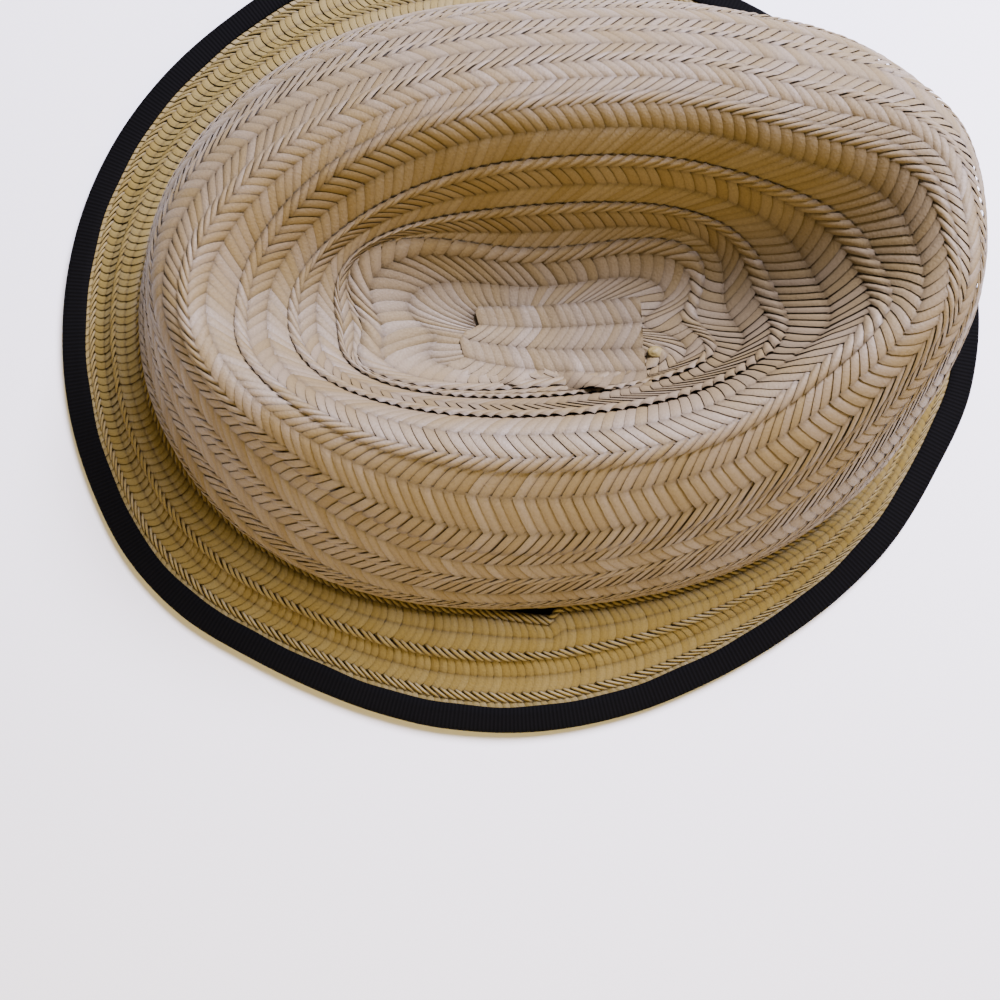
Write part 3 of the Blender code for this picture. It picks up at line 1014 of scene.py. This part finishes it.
crown_top = join("crown", [
    lay_rows("crown_rows", crown_rail(1), WIDE, CROWN_PITCH, 11, CROWN_STRAW,
             narrowest=0.4 * MM, flip=True),
    crown_core(),
])
crown_start = lay_rows("crown_start_strip", strip_rail(), STRIP, CROWN_PITCH, 17, CROWN_STRAW)
crown_inside = lay_rows("crown_inside_rows", crown_rail(-1), WIDE_PLAIN, CROWN_PITCH, 13,
                        CROWN_STRAW, narrowest=0.4 * MM)
knot = build_knot()

brim_rows = [lay_rows("brim_rope", brim_rail(1, 0), ROPE, BRIM_PITCH, 21, BRIM_STRAW_WARM_LIT,
                      narrowest=0.5 * MM)]
for line in (1, 2, 3):
    brim_rows.append(lay_rows("brim_row", brim_rail(1, line), RIB, BRIM_PITCH, 21 + line,
                              BRIM_STRAW_WARM_LIT, narrowest=MM))
brim_top = join("brim", brim_rows + [brim_core()])
brim_under = join("brim_underside_rows", [
    lay_rows("under_row", brim_rail(-1, line, HEM_REACH + MM), RIB_PLAIN, BRIM_PITCH, 31 + line,
             BRIM_STRAW_WARM_LIT, narrowest=MM, flip=True)
    for line in (1, 2, 3)])

for used in (WIDE, WIDE_PLAIN, STRIP, RIB, RIB_PLAIN, ROPE):
    bpy.data.objects.remove(used)


# Binding: a folded ribbon with rounded edges, and the sweatband with its hem

BINDING_BEND = 1.1 * MM
BINDING_HEM = 0.12 * MM


def build_binding():
    """Ribbon folded over the brim edge, as one closed loop of its section."""
    height = STRAW_WALL + 2 * (RIBBON_THICKNESS + FIT_GAP)
    skin = RIBBON_THICKNESS
    face = BINDING_FACE
    middle = 4.0 * MM
    # Points of the section as (in from the edge, up), round the inside, then the outside
    section = [(face, BINDING_HEM), (face + BINDING_HEM, 0.3 * MM), (face, skin), (middle, skin),
               (skin, skin), (skin, height - skin), (middle, height - skin),
               (face, height - skin), (face + BINDING_HEM, height - 0.3 * MM),
               (face, height - 0.1 * MM), (4.6 * MM, height), (2.4 * MM, height)]
    leans = [0.5 * math.pi * step / 6 for step in range(7)]
    section += [(BINDING_BEND * (1 - math.sin(lean)),
                 height - BINDING_BEND * (1 - math.cos(lean))) for lean in leans]
    section += [(BINDING_BEND * (1 - math.cos(lean)),
                 BINDING_BEND * (1 - math.sin(lean))) for lean in leans]
    section += [(2.4 * MM, 0.0), (4.6 * MM, 0.0)]
    count = 360
    points, along = [], []
    spots = [edge_point(TAU * station / count) for station in range(count)]
    for depth, rise in section:
        length = 0.0
        for station, (edge, way) in enumerate(spots):
            if station:
                length += math.dist(edge, spots[station - 1][0])
            # The ribbon's upper hem wanders a little, as a sewn one does
            wave = (0.10 * MM * math.sin(station * 0.61)
                    + 0.08 * MM * math.sin(station * 0.37 + 1.0))
            inward = depth + (wave if depth > middle and rise > 1.5 * MM else 0.0)
            points.append(place(edge[0] - way[0] * inward, edge[1] - way[1] * inward, rise))
            along.append(float(length))
    return new_object("brim_binding", points, tube_faces(len(section), count), RIBBON,
                      {"ribbon_along": along})


def build_sweatband():
    """Band inside the wall, its hem turned out under the brim, as one loop of its section."""
    inset = STRAW_WALL + FIT_GAP
    count = 180
    steps = 12
    turns = [TAU * station / count for station in range(count)]
    feet = [foot_point(turn) for turn in turns]
    rows = []
    for skin in (inset + SWEATBAND_THICKNESS, inset):
        strip = [[(foot[0] + way[0] * reach, foot[1] + way[1] * reach, FOOT_HEIGHT - skin)
                  for foot, way in feet] for reach in (HEM_REACH, MM, -skin)]
        for step in range(steps + 1):
            level = SWEATBAND_TOP * step / steps
            strip.append([Vector(crown_point(level, turn)) - crown_normal(level, turn) * skin
                          for turn in turns])
        rows += strip if skin > inset else strip[::-1]
    points, along, across = [], [], []
    for row, ring in enumerate(rows):
        length = 0.0
        for station, spot in enumerate(ring):
            if station:
                length += math.dist(spot, ring[station - 1])
            points.append(place(*spot))
            along.append(float(length))
            across.append(float(row * 2.0 * MM))
    return new_object("sweatband", points, tube_faces(len(rows), count), BAND,
                      {"ribbon_along": along, "ribbon_across": across})


binding = build_binding()
sweatband = build_sweatband()

for piece, node, slot in ((crown_top, "crown", "natural_straw"),
                          (brim_top, "brim", "natural_straw"),
                          (binding, "brim_binding", "black_ribbon"),
                          (sweatband, "sweatband", "black_sweatband")):
    piece.name = node + "_dressed"
    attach(piece, "root")
    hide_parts(node)
for piece in (crown_start, crown_inside, brim_under, knot):
    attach(piece, "root")


# Floor and soft studio light

def build_floor():
    """Plain pale floor, far wider than the hat."""
    made = Finish("pale_floor", 0.9)
    cloud = made.noise(3.0)
    made.feed("Base Color", made.mix(cloud, (0.92, 0.92, 0.92), (0.95, 0.95, 0.95)))
    half = 3.0
    corners = [(-half, -half, 0.0), (half, -half, 0.0), (half, half, 0.0), (-half, half, 0.0)]
    floor = new_object("floor", corners, [(0, 1, 2, 3)], made.material)


def soft_light(name, at, size, energy, colour):
    """Round lamp that points at the hat."""
    aim = (0.0, 0.0, 0.03)
    lamp = bpy.data.lights.new(name, "AREA")
    lamp.shape = "DISK"
    lamp.size = size
    lamp.energy = energy
    lamp.color = colour
    made = bpy.data.objects.new(name, lamp)
    made.location = at
    made.rotation_euler = (Vector(aim) - Vector(at)).to_track_quat("-Z", "Y").to_euler()
    bpy.context.scene.collection.objects.link(made)


build_floor()
sky = bpy.data.worlds.new("studio")
bpy.context.scene.world = sky
sky.use_nodes = True
sky.node_tree.nodes["Background"].inputs[0].default_value = (1.0, 0.95, 0.84, 1.0)
sky.node_tree.nodes["Background"].inputs[1].default_value = 0.27
soft_light("key", at=(0.42, -0.36, 0.70), size=0.45, energy=45.0, colour=(0.80, 0.77, 1.0))
soft_light("side_fill", at=(-0.75, 0.05, 0.40), size=0.5, energy=6.5, colour=(1.0, 0.68, 0.14))
